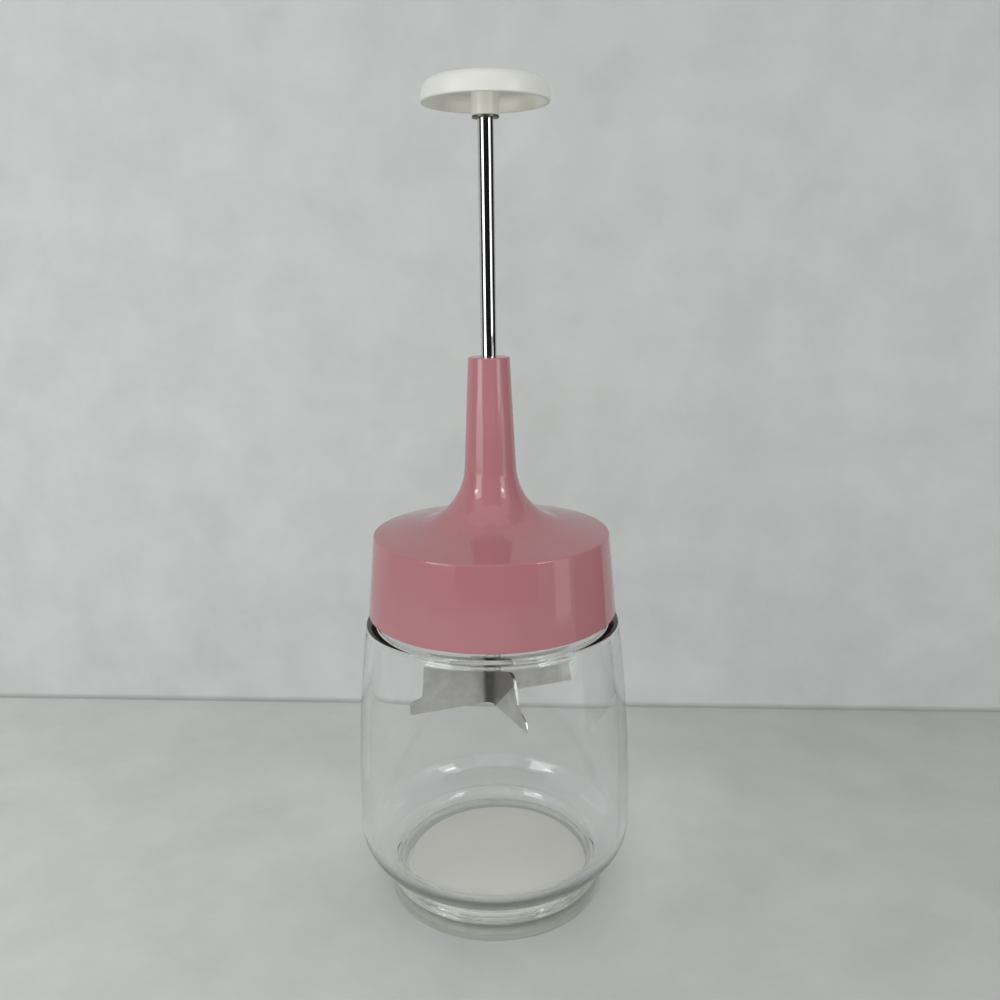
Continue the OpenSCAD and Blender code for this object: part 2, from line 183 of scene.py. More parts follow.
GLASS_IOR, GLASS_SHADOW = 1.5, (0.97, 0.975, 0.975, 1)
# The heel's edge tint and the foot's tint are painted shade on the glass.
GLASS_TINT, HEEL_SHADE_TINT, FOOT_SHADE_TINT = (0.988, 0.996, 0.996, 1), (0.17, 0.19, 0.18, 1), (0.54, 0.56, 0.53, 1)
HEEL_SHADE_LOW_Z, HEEL_SHADE_FULL_Z, HEEL_SHADE_HIGH_Z, HEEL_SHADE_TURN = 12.0, 20.0, 25.5, (0.3, 0.46)
WAVE_SCALE, STIPPLE_SCALE, RUBBED_SCALE = 60, 1500, 300


def facing(tree, low, high, start, stop):
    """A mask that grows as the surface turns away from the eye."""
    turned = tree.nodes.new("ShaderNodeLayerWeight")
    turned.inputs["Blend"].default_value = 0.5
    return remap(tree, turned.outputs["Facing"], low, high, start, stop)


def object_place(tree):
    """The place on the object, in metres, as separate x, y and z."""
    place = tree.nodes.new("ShaderNodeTexCoord")
    parts = tree.nodes.new("ShaderNodeSeparateXYZ")
    tree.links.new(place.outputs["Object"], parts.inputs["Vector"])
    return parts.outputs


def product(tree, first, second):
    multiply = tree.nodes.new("ShaderNodeMath")
    multiply.operation = "MULTIPLY"
    tree.links.new(first, multiply.inputs[0])
    tree.links.new(second, multiply.inputs[1])
    return multiply.outputs["Value"]


def between(tree, first, second, factor):
    """A colour that goes from the first to the second as the factor grows."""
    shade = tree.nodes.new("ShaderNodeMix")
    shade.data_type = "RGBA"
    shade.inputs["A"].default_value = first
    shade.inputs["B"].default_value = second
    tree.links.new(factor, shade.inputs["Factor"])
    return shade.outputs["Result"]


def let_light_through(material, share):
    """Glass and milky plastic let a share of the light on to what lies in their shadow."""
    tree = material.node_tree
    light_path = tree.nodes.new("ShaderNodeLightPath")
    glow = tree.nodes.new("ShaderNodeBsdfTransparent")
    glow.inputs["Color"].default_value = share
    mix = tree.nodes.new("ShaderNodeMixShader")
    tree.links.new(light_path.outputs["Is Shadow Ray"], mix.inputs["Fac"])
    tree.links.new(tree.nodes["Principled BSDF"].outputs["BSDF"], mix.inputs[1])
    tree.links.new(glow.outputs["BSDF"], mix.inputs[2])
    tree.links.new(mix.outputs["Shader"], tree.nodes["Material Output"].inputs["Surface"])


def glass_material(name, tint_colour, painted_heel_shade=False):
    """Clear glass with the faint waves that pressing leaves; for the heel, painted shade turns it grey-green
    where it turns from the eye.
    """
    material, tree, shader = new_material(name)
    shader.inputs["Base Color"].default_value = tint_colour
    shader.inputs["Roughness"].default_value = 0.0
    shader.inputs["IOR"].default_value = GLASS_IOR
    shader.inputs["Transmission Weight"].default_value = 1.0
    bumped(tree, noise(tree, WAVE_SCALE, 1.0, (1, 1, 0.45)), shader, 0.08, 0.0004)
    # Painted shade: low on the jar the heel darkens to grey-green as it turns from the eye.
    if painted_heel_shade:
        low_down = remap(tree, object_place(tree)["Z"], 1, 0, HEEL_SHADE_FULL_Z * MM, HEEL_SHADE_HIGH_Z * MM)
        heel_shade = product(tree, facing(tree, 0, 1, *HEEL_SHADE_TURN), low_down)
        tree.links.new(between(tree, tint_colour, HEEL_SHADE_TINT, heel_shade), shader.inputs["Base Color"])
    let_light_through(material, GLASS_SHADOW)
    return material


def matt_underside(name, dark, light):
    """The underside is matt: stippled by the mould and rubbed by years of standing."""
    material, tree, shader = new_material(name)
    rubbed = remap(tree, noise(tree, RUBBED_SCALE, 4), 0, 1)
    tree.links.new(between(tree, coloured(dark), coloured(light), rubbed), shader.inputs["Base Color"])
    shader.inputs["Roughness"].default_value = 0.55
    shader.inputs["IOR"].default_value = GLASS_IOR
    bumped(tree, noise(tree, STIPPLE_SCALE, 2), shader, 0.3, 0.0002)
    return material


jar = spin("glass_jar", jar_outline, crease=70)
jar.data.materials.append(glass_material("clear_glass", GLASS_TINT))
jar.data.materials.append(matt_underside("underside_middle", "c6c8c2", "d2d4ce"))
# The standing ring's copy is paler than the middle's: painted light that lifts the shade the ring is seen in.
jar.data.materials.append(matt_underside("underside_ring_painted_light", "dcded8", "e4e6e0"))
jar.data.materials.append(glass_material("heel_glass_painted_shade", GLASS_TINT, painted_heel_shade=True))
# The foot's copy of the glass is darkened all over with painted shade.
jar.data.materials.append(glass_material("foot_glass_painted_shade", FOOT_SHADE_TINT))
for face in jar.data.polygons:
    outward = face.normal.x * face.center.x + face.normal.y * face.center.y > 0
    # Faces under the disc get the middle copy; the standing ring gets the paler copy, painted with light.
    if face.center.z < (FOOT_HOLLOW + 0.1) * MM and face.normal.z < -0.5:
        face.material_index = 1 if face.center.xy.length < (FOOT_R - FOOT_RING_W) * MM else 2
    # The heel's outer faces get the glass with painted shade at its edge.
    elif outward and HEEL_SHADE_LOW_Z * MM < face.center.z < HEEL_SHADE_HIGH_Z * MM:
        face.material_index = 3
    # The foot's outer faces get the glass darkened with painted shade.
    elif outward and face.center.z < (FOOT_H - 1) * MM and face.center.xy.length > WAIST_R * MM:
        face.material_index = 4
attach(jar, "jar")
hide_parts("jar")

# ---------------------------------------------------------------------------
# Chopping disc. A loose white plastic disc in the jar's well, satin moulded,
# with a fine grain in its surface.
# ---------------------------------------------------------------------------
DISC_R, DISC_TOP_Z, DISC_OFF, DISC_GLOW = 30.0, 7.0, 0.7, (0.8, 0.8, 0.78, 1)
DRIFT_SCALE, GRAIN_SCALE, WEAR_SCALE = 22, 900, 140


def plastic_skin_group():
    """Moulded plastic: slow colour drift, fine grain and an uneven gloss."""
    group = bpy.data.node_groups.new("moulded_skin", "ShaderNodeTree")
    face = group.interface
    face.new_socket("Drift Scale", in_out="INPUT", socket_type="NodeSocketFloat")
    face.new_socket("Gloss Low", in_out="INPUT", socket_type="NodeSocketFloat")
    face.new_socket("Gloss High", in_out="INPUT", socket_type="NodeSocketFloat")
    face.new_socket("Drift", in_out="OUTPUT", socket_type="NodeSocketFloat")
    face.new_socket("Roughness", in_out="OUTPUT", socket_type="NodeSocketFloat")
    face.new_socket("Height", in_out="OUTPUT", socket_type="NodeSocketFloat")
    inside = group.nodes.new("NodeGroupInput")
    outside = group.nodes.new("NodeGroupOutput")
    place = group.nodes.new("ShaderNodeTexCoord")
    drift = group.nodes.new("ShaderNodeTexNoise")
    drift.inputs["Detail"].default_value = 3
    grain = group.nodes.new("ShaderNodeTexNoise")
    grain.inputs["Scale"].default_value = GRAIN_SCALE
    grain.inputs["Detail"].default_value = 2
    wear = group.nodes.new("ShaderNodeTexNoise")
    wear.inputs["Scale"].default_value = WEAR_SCALE
    wear.inputs["Detail"].default_value = 4
    gloss = group.nodes.new("ShaderNodeMapRange")
    gloss.inputs["From Min"].default_value = 0.3
    gloss.inputs["From Max"].default_value = 0.7
    group.links.new(inside.outputs["Drift Scale"], drift.inputs["Scale"])
    group.links.new(inside.outputs["Gloss Low"], gloss.inputs["To Min"])
    group.links.new(inside.outputs["Gloss High"], gloss.inputs["To Max"])
    group.links.new(wear.outputs["Fac"], gloss.inputs["Value"])
    for spots in (drift, grain, wear):
        group.links.new(place.outputs["Object"], spots.inputs["Vector"])
    group.links.new(drift.outputs["Fac"], outside.inputs["Drift"])
    group.links.new(gloss.outputs["Result"], outside.inputs["Roughness"])
    group.links.new(grain.outputs["Fac"], outside.inputs["Height"])
    return group


moulded_skin = plastic_skin_group()


def plastic_material(name, dark, light, gloss, grain):
    """Moulded plastic between two close shades, with its own gloss and grain."""
    material, tree, shader = new_material(name)
    skin = tree.nodes.new("ShaderNodeGroup")
    skin.node_tree = moulded_skin
    skin.inputs["Drift Scale"].default_value = DRIFT_SCALE
    skin.inputs["Gloss Low"].default_value = gloss[0]
    skin.inputs["Gloss High"].default_value = gloss[1]
    drift = remap(tree, skin.outputs["Drift"], 0, 1)
    tree.links.new(between(tree, coloured(dark), coloured(light), drift), shader.inputs["Base Color"])
    tree.links.new(skin.outputs["Roughness"], shader.inputs["Roughness"])
    bumped(tree, skin.outputs["Height"], shader, grain, 0.0002)
    return material


disc_outline = (
    [(0, FLOOR_Z), (DISC_R - 0.6, FLOOR_Z), (DISC_R, FLOOR_Z + 0.6)]
    + arc(DISC_R - 0.8, DISC_TOP_Z - 0.8, 0.8, 0, 90, 8) + [(0, DISC_TOP_Z)])
disc = spin("chopping_disc_skin", disc_outline, 128)
disc.location.x = DISC_OFF * MM
disc_material = plastic_material("disc_plastic", "c6c5bf", "d0cfc9", (0.45, 0.6), 0.12)
let_light_through(disc_material, DISC_GLOW)
disc.data.materials.append(disc_material)
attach(disc, "jar")
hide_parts("chopping_disc")

# ---------------------------------------------------------------------------
# Lid. Pink moulded plastic in one piece: a drafted skirt with grip ribs inside, a
# gently sloping top and a tall neck that sweeps up from it and guides the plunger.
# ---------------------------------------------------------------------------
SKIRT_R, SKIRT_Z, LID_EDGE_R, LID_EDGE_Z = 39.0, 96.0, 36.7, 121.4
NECK_TOP_R, NECK_TOP_Z, NECK_TAPER, SWEEP_R, ROOF_SLOPE = 6.3, 175.1, 2.8, 19.0, 10.0
SOCKET_R, SEAT_IN_R, ROOF_T = 35.55, 29.55, 2.6
BORE_R, TUBE_R, TUBE_Z, BORE_TOP_Z, HOLE_R = 4.8, 6.5, 98.0, 172.1, 2.44
RIB_IN_R, RIB_W, RIB_LOW_Z, RIB_H, RIB_COUNT, RIB_SUNK = 35.25, 1.6, 101.0, 12.0, 8, 0.2
LID_GLOW = (0.3, 0.2, 0.2, 1)


def sweep_centre():
    """Centre of the sweep that touches both the neck's side and the roof."""
    lean, slope = math.radians(NECK_TAPER), math.radians(ROOF_SLOPE)
    neck, roof = Vector((math.cos(lean), math.sin(lean))), Vector((math.sin(slope), math.cos(slope)))
    neck_reach = neck.dot((NECK_TOP_R, NECK_TOP_Z)) + SWEEP_R
    roof_reach = roof.dot((LID_EDGE_R, LID_EDGE_Z)) + SWEEP_R
    return Matrix((neck, roof)).inverted() @ Vector((neck_reach, roof_reach))


def under_roof(r):
    return LID_EDGE_Z + (LID_EDGE_R - r) * math.tan(math.radians(ROOF_SLOPE)) - ROOF_T


sweep_x, sweep_z = sweep_centre()
lid_outline = (
    arc(SKIRT_R - 0.3, SKIRT_Z + 0.3, 0.3, -60, 5, 4)
    + arc(LID_EDGE_R - 0.8, LID_EDGE_Z - 0.8, 0.8, 5, 90 - ROOF_SLOPE, 10)
    + arc(sweep_x, sweep_z, SWEEP_R, 270 - ROOF_SLOPE, 180 + NECK_TAPER, 48)
    + arc(NECK_TOP_R - 0.5, NECK_TOP_Z - 0.5, 0.5, 0, 90, 8)
    + [(HOLE_R + 0.2, NECK_TOP_Z), (HOLE_R, NECK_TOP_Z - 0.2), (HOLE_R, BORE_TOP_Z), (BORE_R, BORE_TOP_Z),
       (BORE_R, TUBE_Z), (TUBE_R, TUBE_Z), (TUBE_R, under_roof(TUBE_R)), (SEAT_IN_R, under_roof(SEAT_IN_R)),
       (SEAT_IN_R, RIM_Z), (SOCKET_R, RIM_Z), (SOCKET_R, SKIRT_Z)])
lid = spin("lid_skin", lid_outline, 192, 30)
lid_mesh = bmesh.new()
lid_mesh.from_mesh(lid.data)
rib_out_r = SOCKET_R + RIB_SUNK
rib_middle = Matrix.Translation(((RIB_IN_R + rib_out_r) / 2 * MM, 0, (RIB_LOW_Z + RIB_H / 2) * MM))
rib_size = Matrix.Diagonal(((rib_out_r - RIB_IN_R) * MM, RIB_W * MM, RIB_H * MM, 1))
for index in range(RIB_COUNT):
    round_the_lid = Matrix.Rotation(2 * math.pi * index / RIB_COUNT, 4, "Z")
    bmesh.ops.create_cube(lid_mesh, size=1, matrix=round_the_lid @ rib_middle @ rib_size)
lid_mesh.to_mesh(lid.data)
lid_mesh.free()
lid.data.set_sharp_from_angle(angle=math.radians(30))
pink_plastic = plastic_material("pink_plastic", "a76d73", "ae777d", (0.06, 0.11), 0.015)
let_light_through(pink_plastic, LID_GLOW)
lid.data.materials.append(pink_plastic)
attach(lid, "lid")
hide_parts("lid")

# ---------------------------------------------------------------------------
# Guide bush. Pale plastic, pressed into the end of the lid's tube: the rod slides
# in it, and its upper end carries the spring.
# ---------------------------------------------------------------------------


def dress(node, material):
    """Gives a CAD node its finish; its shape and place stay as they are."""
    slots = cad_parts[node].data.materials
    if len(slots) == 0:
        slots.append(material)
    for index in range(len(slots)):
        slots[index] = material


dress("guide_bush", plastic_material("bush_plastic", "cfcdc4", "d8d6ce", (0.35, 0.5), 0.1))

# ---------------------------------------------------------------------------
# Return spring, spring washer and stop clip. Drawn wire and stamped strip, hidden
# in the neck: the spring is pressed together as the plunger goes down and lifts it
# again, and the clip stops it at the top.
# ---------------------------------------------------------------------------
COIL_R, WIRE_D, COIL_LOW_Z, COIL_HIGH_Z = 3.7, 0.9, 102.05, 170.65
COILS, CLOSE_RISE = 10, 1.4
STAIN_SCALE, WIRE_GRAIN = 240, (900, 900, 900)


def steel_grain_group():
    """Drawn or rolled steel: long fine streaks and soft stains."""
    group = bpy.data.node_groups.new("steel_grain", "ShaderNodeTree")
    face = group.interface
    face.new_socket("Along", in_out="INPUT", socket_type="NodeSocketVector")
    face.new_socket("Streaks", in_out="OUTPUT", socket_type="NodeSocketFloat")
    face.new_socket("Stains", in_out="OUTPUT", socket_type="NodeSocketFloat")
    inside = group.nodes.new("NodeGroupInput")
    outside = group.nodes.new("NodeGroupOutput")
    place = group.nodes.new("ShaderNodeTexCoord")
    stretch = group.nodes.new("ShaderNodeVectorMath")
    stretch.operation = "MULTIPLY"
    streaks = group.nodes.new("ShaderNodeTexNoise")
    streaks.inputs["Scale"].default_value = 1
    streaks.inputs["Detail"].default_value = 3
    stains = group.nodes.new("ShaderNodeTexNoise")
    stains.inputs["Scale"].default_value = STAIN_SCALE
    stains.inputs["Detail"].default_value = 4
    group.links.new(place.outputs["Object"], stretch.inputs[0])
    group.links.new(inside.outputs["Along"], stretch.inputs[1])
    group.links.new(stretch.outputs["Vector"], streaks.inputs["Vector"])
    group.links.new(place.outputs["Object"], stains.inputs["Vector"])
    group.links.new(streaks.outputs["Fac"], outside.inputs["Streaks"])
    group.links.new(stains.outputs["Fac"], outside.inputs["Stains"])
    return group


steel_grain = steel_grain_group()


def steel_material(name, dark, light, along, gloss, grain):
    """Steel between two shades, streaked along the way it was drawn or rolled."""
    material, tree, shader = new_material(name)
    metal = tree.nodes.new("ShaderNodeGroup")
    metal.node_tree = steel_grain
    metal.inputs["Along"].default_value = along
    stains = remap(tree, metal.outputs["Stains"], 0, 1)
    tree.links.new(between(tree, coloured(dark), coloured(light), stains), shader.inputs["Base Color"])
    tree.links.new(remap(tree, metal.outputs["Streaks"], *gloss), shader.inputs["Roughness"])
    shader.inputs["Metallic"].default_value = 1.0
    bumped(tree, metal.outputs["Streaks"], shader, grain, 0.0001)
    return material


def wire_height(turn):
    """Height of the wire's middle after some turns; the end coils lie closer together."""
    low, high = COIL_LOW_Z + WIRE_D / 2, COIL_HIGH_Z - WIRE_D / 2
    if turn < 1:
        return low + turn * CLOSE_RISE
    if turn > COILS - 1:
        return high - (COILS - turn) * CLOSE_RISE
    return low + CLOSE_RISE + (turn - 1) * (high - low - 2 * CLOSE_RISE) / (COILS - 2)


def coiled_wire(name, rings_per_turn=36, sides=12):
    """One round wire wound into the spring, with flat cut ends."""
    wire = bmesh.new()
    rings = []
    for i in range(COILS * rings_per_turn + 1):
        turn = i / rings_per_turn
        way = Vector((math.cos(2 * math.pi * turn), math.sin(2 * math.pi * turn), 0))
        middle = way * COIL_R + Vector((0, 0, wire_height(turn)))
        ring = []
        for k in range(sides):
            a = 2 * math.pi * k / sides
            point = middle + WIRE_D / 2 * (math.cos(a) * way + math.sin(a) * Vector((0, 0, 1)))
            ring.append(wire.verts.new(point * MM))
        rings.append(ring)
    for low, high in zip(rings, rings[1:]):
        for k in range(sides):
            n = (k + 1) % sides
            wire.faces.new((low[k], low[n], high[n], high[k]))
    wire.faces.new(rings[0])
    wire.faces.new(rings[-1])
    bmesh.ops.recalc_face_normals(wire, faces=wire.faces)
    return to_piece(name, wire, 60)


spring_steel = steel_material("spring_steel", "9a9a9c", "b4b4b6", WIRE_GRAIN, (0.3, 0.45), 0.05)
spring = coiled_wire("return_spring_wire")
spring.data.materials.append(spring_steel)
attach(spring, "lid")
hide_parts("return_spring")
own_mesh(spring)
for hidden_node in ("spring_washer", "stop_clip"):
    dress(hidden_node, spring_steel)

# ---------------------------------------------------------------------------
# Plunger rod. Bright polished round bar; very faint lines run along it from its
# polishing. Its top is pressed into the knob, and the blades are welded to its foot.
# ---------------------------------------------------------------------------
ROD_SHADE_Z, ROD_GRAIN = (76.0, 86.0), (2600, 2600, 12)


def darkened(material, mask, dark):
    """Lays a darker shade over a finish wherever its mask is high."""
    tree = material.node_tree
    shader = tree.nodes["Principled BSDF"]
    shade = tree.nodes.new("ShaderNodeMix")
    shade.data_type = "RGBA"
    shade.inputs["B"].default_value = coloured(dark)
    tree.links.new(mask, shade.inputs["Factor"])
    tree.links.new(shader.inputs["Base Color"].links[0].from_socket, shade.inputs["A"])
    tree.links.new(shade.outputs["Result"], shader.inputs["Base Color"])


polished_steel = steel_material("polished_steel", "d2d2d4", "e0e0e2", ROD_GRAIN, (0.03, 0.07), 0.02)
# Painted shade, nearly black, on the rod's foot where it stands among the blades.
rod_height = object_place(polished_steel.node_tree)["Z"]
rod_foot_shade = remap(polished_steel.node_tree, rod_height, 0.95, 0, ROD_SHADE_Z[0] * MM, ROD_SHADE_Z[1] * MM)
darkened(polished_steel, rod_foot_shade, "1e1b19")
dress("plunger_rod", polished_steel)

# ---------------------------------------------------------------------------
# Knob. White moulded plastic cap with a rounded edge, hollow underneath, with a
# boss that the rod is pressed into and a thin dark collar under the boss.
# ---------------------------------------------------------------------------
KNOB_R, KNOB_Z, KNOB_TOP_Z, KNOB_ROUND = 18.5, 245.9, 252.6, 3.8
KNOB_EDGE_R, KNOB_WALL, KNOB_DOME, KNOB_TOP_T = 18.1, 1.5, 0.3, 2.0
BOSS_R, BOSS_Z, BOSS_HOLE_R, BOSS_HOLE_TOP = 3.9, 242.5, 2.39, 249.3
KNOB_GLOW = (0.9, 0.89, 0.84, 1)
knob_ceiling = KNOB_TOP_Z - KNOB_DOME - KNOB_TOP_T
knob_in_round = KNOB_ROUND - KNOB_WALL
knob_outline = (
    arc(KNOB_R - 0.5, KNOB_Z + 0.5, 0.5, -90, 0, 5)
    + arc(KNOB_EDGE_R - KNOB_ROUND, KNOB_TOP_Z - KNOB_DOME - KNOB_ROUND, KNOB_ROUND, 4, 88, 20)
    + [(KNOB_EDGE_R * f, KNOB_TOP_Z - KNOB_DOME * (f / 0.8) ** 2) for f in (0.65, 0.5, 0.35, 0.2, 0.1)]
    + [(0, KNOB_TOP_Z), (0, BOSS_HOLE_TOP), (BOSS_HOLE_R, BOSS_HOLE_TOP), (BOSS_HOLE_R, BOSS_Z),
       (BOSS_R - 0.3, BOSS_Z), (BOSS_R, BOSS_Z + 0.3), (BOSS_R, knob_ceiling - 1)]
    + arc(BOSS_R + 1, knob_ceiling - 1, 1, 180, 90, 5)
    + arc(KNOB_EDGE_R - KNOB_WALL - knob_in_round, knob_ceiling - knob_in_round, knob_in_round, 90, 0, 10)
    + [(KNOB_R - KNOB_WALL, KNOB_Z + 0.5), (KNOB_R - KNOB_WALL + 0.3, KNOB_Z + 0.1)])
knob = spin("knob_skin", knob_outline, 160, 40)
white_plastic = plastic_material("white_plastic", "cfd0ca", "dadad5", (0.34, 0.46), 0.03)
let_light_through(white_plastic, KNOB_GLOW)
knob.data.materials.append(white_plastic)
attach(knob, "plunger")
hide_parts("knob")

dress("knob_washer", steel_material("dull_steel", "5c564f", "6e675f", WIRE_GRAIN, (0.35, 0.5), 0.05))

# ---------------------------------------------------------------------------
# Blades. Two plates of satin stainless strip, bent to a V and welded back to back
# to the rod; each has a wide wing and a pointed wing with a ground facet.
# ---------------------------------------------------------------------------
STAIN_AND_SHADE_R, FOLD_SHADE_X, FOLD_SHADE_R = (2.0, 7.0), -1.2, (1.0, 2.4)
GROUND_Z, GROUND_RISE, GROUND_EDGE, FACET_REFLECTION_X, FACET_REFLECTION_SHARE = 62.8, 2.2, 0.5, (-0.4, 0.2), 0.62
ROLLED_GRAIN, BLADE_GLOSS, BLADE_STREAK = (60, 60, 1500), (0.34, 0.5), 0.15


def stain_and_shade_round_the_rod(material):
    """Brownish stain next to the rod, partly painted shade where the blades meet it, and painted shade,
    nearly black and less metallic, in the fold.
    """
    tree = material.node_tree
    place = object_place(tree)
    level = tree.nodes.new("ShaderNodeCombineXYZ")
    tree.links.new(place["X"], level.inputs["X"])
    tree.links.new(place["Y"], level.inputs["Y"])
    reach = tree.nodes.new("ShaderNodeVectorMath")
    reach.operation = "LENGTH"
    tree.links.new(level.outputs["Vector"], reach.inputs[0])
    # Brownish stain near the rod, partly painted shade where the blades meet it.
    stain_and_shade_near = remap(tree, reach.outputs["Value"], 0.6, 0, STAIN_AND_SHADE_R[0] * MM, STAIN_AND_SHADE_R[1] * MM)
    darkened(material, product(tree, stain_and_shade_near, remap(tree, noise(tree, 420, 4), 0.4, 1)), "4a423c")
    aside = tree.nodes.new("ShaderNodeMath")
    aside.operation = "SUBTRACT"
    aside.inputs[1].default_value = FOLD_SHADE_X * MM
    tree.links.new(place["X"], aside.inputs[0])
    away = tree.nodes.new("ShaderNodeMath")
    away.operation = "ABSOLUTE"
    tree.links.new(aside.outputs["Value"], away.inputs[0])
    # Painted shade, nearly black, in the fold between the wings; the steel there is made less metallic too.
    fold_shade = remap(tree, away.outputs["Value"], 1, 0, FOLD_SHADE_R[0] * MM, FOLD_SHADE_R[1] * MM)
    darkened(material, fold_shade, "141110")
    metal_outside_fold_shade = remap(tree, away.outputs["Value"], 0.2, 1, FOLD_SHADE_R[0] * MM, FOLD_SHADE_R[1] * MM)
    tree.links.new(metal_outside_fold_shade, tree.nodes["Principled BSDF"].inputs["Metallic"])


def dark_reflection_above_the_facet(material):
    """Painted dark reflection on the pointed wing above the slanting edge of its ground facet; the facet
    below keeps the plain bright steel.
    """
    tree = material.node_tree
    place = object_place(tree)
    rise = tree.nodes.new("ShaderNodeMath")
    rise.operation = "MULTIPLY_ADD"
    rise.inputs[1].default_value = -GROUND_RISE
    tree.links.new(place["X"], rise.inputs[0])
    tree.links.new(place["Z"], rise.inputs[2])
    above = remap(tree, rise.outputs["Value"], 0, FACET_REFLECTION_SHARE, GROUND_Z * MM, (GROUND_Z + GROUND_EDGE) * MM)
    on_wing = remap(tree, place["X"], 0, 1, FACET_REFLECTION_X[0] * MM, FACET_REFLECTION_X[1] * MM)
    darkened(material, product(tree, above, on_wing), "56524e")


front_steel = steel_material("front_blade_steel", "bcbab6", "d4d2ce", ROLLED_GRAIN, BLADE_GLOSS, BLADE_STREAK)
rear_steel = steel_material("rear_blade_steel", "bab8b4", "d2d0cc", ROLLED_GRAIN, BLADE_GLOSS, BLADE_STREAK)
# The front blade carries a painted dark reflection above its facet.
dark_reflection_above_the_facet(front_steel)
stain_and_shade_round_the_rod(front_steel)
stain_and_shade_round_the_rod(rear_steel)
dress("blade_front", front_steel)
dress("blade_rear", rear_steel)

# ---------------------------------------------------------------------------
# Floor and backdrop. Plain and pale, with painted shade that darkens them to the right; the backdrop is
# close behind, a few degrees askew, seen from the front only, with painted shade towards its top and a soft
# painted shadow along its crease.
# ---------------------------------------------------------------------------
BACKDROP_Y, BACKDROP_TURN, BACKDROP_HALF_W, BACKDROP_H = 0.128, -3.4, 1.2, 1.1
FLOOR_R, FLOOR_DROP, TOOTH_SCALE = 3.0, 0.0001, 260
STAGE_LEFT, STAGE_RIGHT, STAGE_TOP, TOP_SHADE = -0.2, 0.2, 0.3, 0.87
CREASE_H, CREASE_SHADE = 0.003, 0.62


def tinted(tree, colour, factor):
    """A colour made darker by a factor that varies from place to place."""
    shade = tree.nodes.new("ShaderNodeMix")
    shade.data_type = "RGBA"
    shade.blend_type = "MULTIPLY"
    shade.inputs["Factor"].default_value = 1
    tree.links.new(colour, shade.inputs["A"])
    tree.links.new(factor, shade.inputs["B"])
    return shade.outputs["Result"]


def mottled_material(name, dark, light, scale, right_shade):
    """A matt pale surface with soft mottling and a fine tooth, with painted shade that darkens it to the
    right.
    """
    material, tree, shader = new_material(name)
    mottling = remap(tree, noise(tree, scale, 5, roughness=0.6), 0, 1)
    shade = between(tree, coloured(dark), coloured(light), mottling)
    # Painted shade: darker towards the right.
    painted_right_shade = remap(tree, object_place(tree)["X"], 1, right_shade, STAGE_LEFT, STAGE_RIGHT)
    tree.links.new(tinted(tree, shade, painted_right_shade), shader.inputs["Base Color"])
    shader.inputs["Roughness"].default_value = 0.85
    shader.inputs["Specular IOR Level"].default_value = 0.15
    bumped(tree, noise(tree, TOOTH_SCALE, 3), shader, 0.15, 0.0006)
    return material


floor_mesh = bmesh.new()
bmesh.ops.create_circle(floor_mesh, cap_ends=True, segments=64, radius=FLOOR_R)
floor = to_piece("floor", floor_mesh, 30)
floor.location.z = -FLOOR_DROP
floor.data.materials.append(mottled_material("pale_floor", "cbcccb", "d6d7d5", 28, 0.77))

backdrop_mesh = bmesh.new()
backdrop_corners = [(-BACKDROP_HALF_W, 0), (BACKDROP_HALF_W, 0),
                    (BACKDROP_HALF_W, BACKDROP_H), (-BACKDROP_HALF_W, BACKDROP_H)]
backdrop_mesh.faces.new([backdrop_mesh.verts.new((x, 0, z)) for x, z in backdrop_corners])
backdrop = to_piece("backdrop", backdrop_mesh, 30)
backdrop.location = (0, BACKDROP_Y, -FLOOR_DROP)
backdrop.rotation_euler.z = math.radians(BACKDROP_TURN)
backdrop_material = mottled_material("pale_backdrop", "c9cccb", "d5d7d7", 34, 0.91)
backdrop_tree = backdrop_material.node_tree
backdrop_shader = backdrop_tree.nodes["Principled BSDF"]
height = object_place(backdrop_tree)["Z"]
# Painted shade: the backdrop darker towards its top.
painted_top_shade = remap(backdrop_tree, height, 1, TOP_SHADE, 0, STAGE_TOP)
# Painted shadow: a thin dark line along the crease where the backdrop meets the floor.
painted_crease_shadow = remap(backdrop_tree, height, CREASE_SHADE, 1, 0.2 * CREASE_H, CREASE_H)
plain_tone = backdrop_shader.inputs["Base Color"].links[0].from_socket
shaded_tone = tinted(backdrop_tree, plain_tone, product(backdrop_tree, painted_top_shade, painted_crease_shadow))
backdrop_tree.links.new(shaded_tone, backdrop_shader.inputs["Base Color"])
side = backdrop_tree.nodes.new("ShaderNodeNewGeometry")
unseen = backdrop_tree.nodes.new("ShaderNodeBsdfTransparent")
by_side = backdrop_tree.nodes.new("ShaderNodeMixShader")
backdrop_tree.links.new(side.outputs["Backfacing"], by_side.inputs["Fac"])
backdrop_tree.links.new(backdrop_shader.outputs["BSDF"], by_side.inputs[1])
backdrop_tree.links.new(unseen.outputs["BSDF"], by_side.inputs[2])
backdrop_tree.links.new(by_side.outputs["Shader"], backdrop_tree.nodes["Material Output"].inputs["Surface"])
backdrop.data.materials.append(backdrop_material)

# ---------------------------------------------------------------------------
# Light. A pale world all round and soft lamps at the left and the right: upright ones,
# low ones for the lid and small bright ones for its glints. A front one fills the shade,
# and dark cards between them are mirrored by the polished rod as black lines.
# ---------------------------------------------------------------------------
world = bpy.data.worlds.new("pale_world")
bpy.context.scene.world = world
world.use_nodes = True
pale_light = world.node_tree.nodes["Background"]
pale_light.inputs["Color"].default_value = coloured("d3d4d2")
pale_light.inputs["Strength"].default_value = 1.0


def round_the_object(azimuth, distance, height):
    """A place round the object; azimuth 0 is in front, positive to the right."""
    a = math.radians(azimuth)
    return Vector((distance * math.sin(a), -distance * math.cos(a), height))


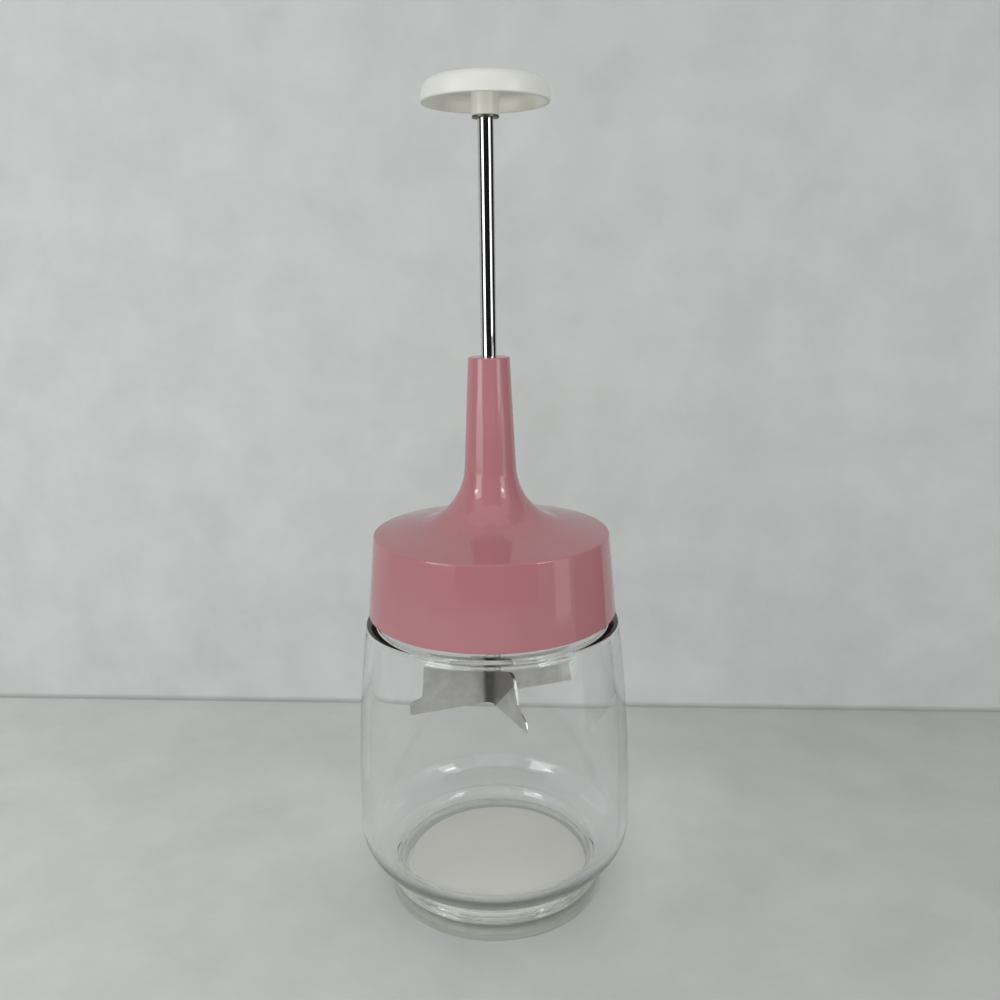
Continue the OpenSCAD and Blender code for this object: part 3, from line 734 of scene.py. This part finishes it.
def soft_lamp(name, low_azimuth, high_azimuth, bottom, top, radiance, mirrored=True, distance=0.5):
    """An upright lamp that fills the sector between two azimuths, seen from the object."""
    lamp = bpy.data.lights.new(name, "AREA")
    lamp.shape = "RECTANGLE"
    lamp.size = 2 * distance * math.tan(math.radians(high_azimuth - low_azimuth) / 2)
    lamp.size_y = top - bottom
    lamp.energy = radiance * math.pi * lamp.size * lamp.size_y
    holder = bpy.data.objects.new(name, lamp)
    bpy.context.scene.collection.objects.link(holder)
    holder.location = round_the_object((low_azimuth + high_azimuth) / 2, distance, (bottom + top) / 2)
    aim = Vector((0, 0, holder.location.z)) - holder.location
    holder.rotation_euler = aim.to_track_quat("-Z", "Y").to_euler()
    holder.visible_camera = False
    holder.visible_glossy = mirrored


soft_lamp("soft_left", -60, -38, 0.15, 0.5, 3.3)
soft_lamp("soft_right", 42, 60, 0.15, 0.5, 2.3)
soft_lamp("low_left", -66, -32, 0.09, 0.15, 2.0)
soft_lamp("low_right", 57, 73, 0, 0.15, 0.9, distance=0.4)
soft_lamp("high_left", -64, -54, 0.32, 0.38, 12)
soft_lamp("high_right", 44, 54, 0.32, 0.38, 12)
soft_lamp("soft_front", -20, 20, 0, 0.8, 0.4, mirrored=False)


def dark_card(name, low_azimuth, high_azimuth, distance, bottom, top):
    """A curved card that only mirrors see, so that it dims no surface."""
    card_mesh = bmesh.new()
    columns = []
    for i in range(CARD_STEPS + 1):
        foot = round_the_object(low_azimuth + (high_azimuth - low_azimuth) * i / CARD_STEPS, distance, bottom)
        columns.append((card_mesh.verts.new(foot), card_mesh.verts.new(foot + Vector((0, 0, top - bottom)))))
    for (low_a, high_a), (low_b, high_b) in zip(columns, columns[1:]):
        card_mesh.faces.new((low_a, low_b, high_b, high_a))
    card = to_piece(name, card_mesh, 30)
    card.visible_camera = card.visible_diffuse = card.visible_shadow = card.visible_transmission = False
    card.data.materials.append(card_black)


CARD_STEPS = 8
card_black, _, card_shader = new_material("card_black")
card_shader.inputs["Base Color"].default_value = (0.008, 0.008, 0.008, 1)
card_shader.inputs["Roughness"].default_value = 0.9
dark_card("card_middle", -32, 42, 0.6, 0, 0.9)
dark_card("card_left", -94, -66, 0.28, 0.12, 0.5)
dark_card("card_right", 72, 116, 0.165, 0.02, 0.5)

# ---------------------------------------------------------------------------
# Camera. A little above the lid and close to the object, tilted down on it.
# ---------------------------------------------------------------------------
CAMERA_PLACE, CAMERA_PITCH, CAMERA_ROLL = (0.002835, -0.2835, 0.1993), 13.56, 0.67
camera_data = bpy.data.cameras.new("camera")
camera_data.lens = 33.84
camera_data.sensor_width = 36
camera_data.clip_start = 0.01
camera = bpy.data.objects.new("camera", camera_data)
bpy.context.scene.collection.objects.link(camera)
camera.matrix_world = (Matrix.Translation(CAMERA_PLACE)
                       @ Matrix.Rotation(math.radians(90 - CAMERA_PITCH), 4, "X")
                       @ Matrix.Rotation(math.radians(-CAMERA_ROLL), 4, "Z"))
bpy.context.scene.camera = camera
bpy.context.scene.view_settings.view_transform = "Standard"
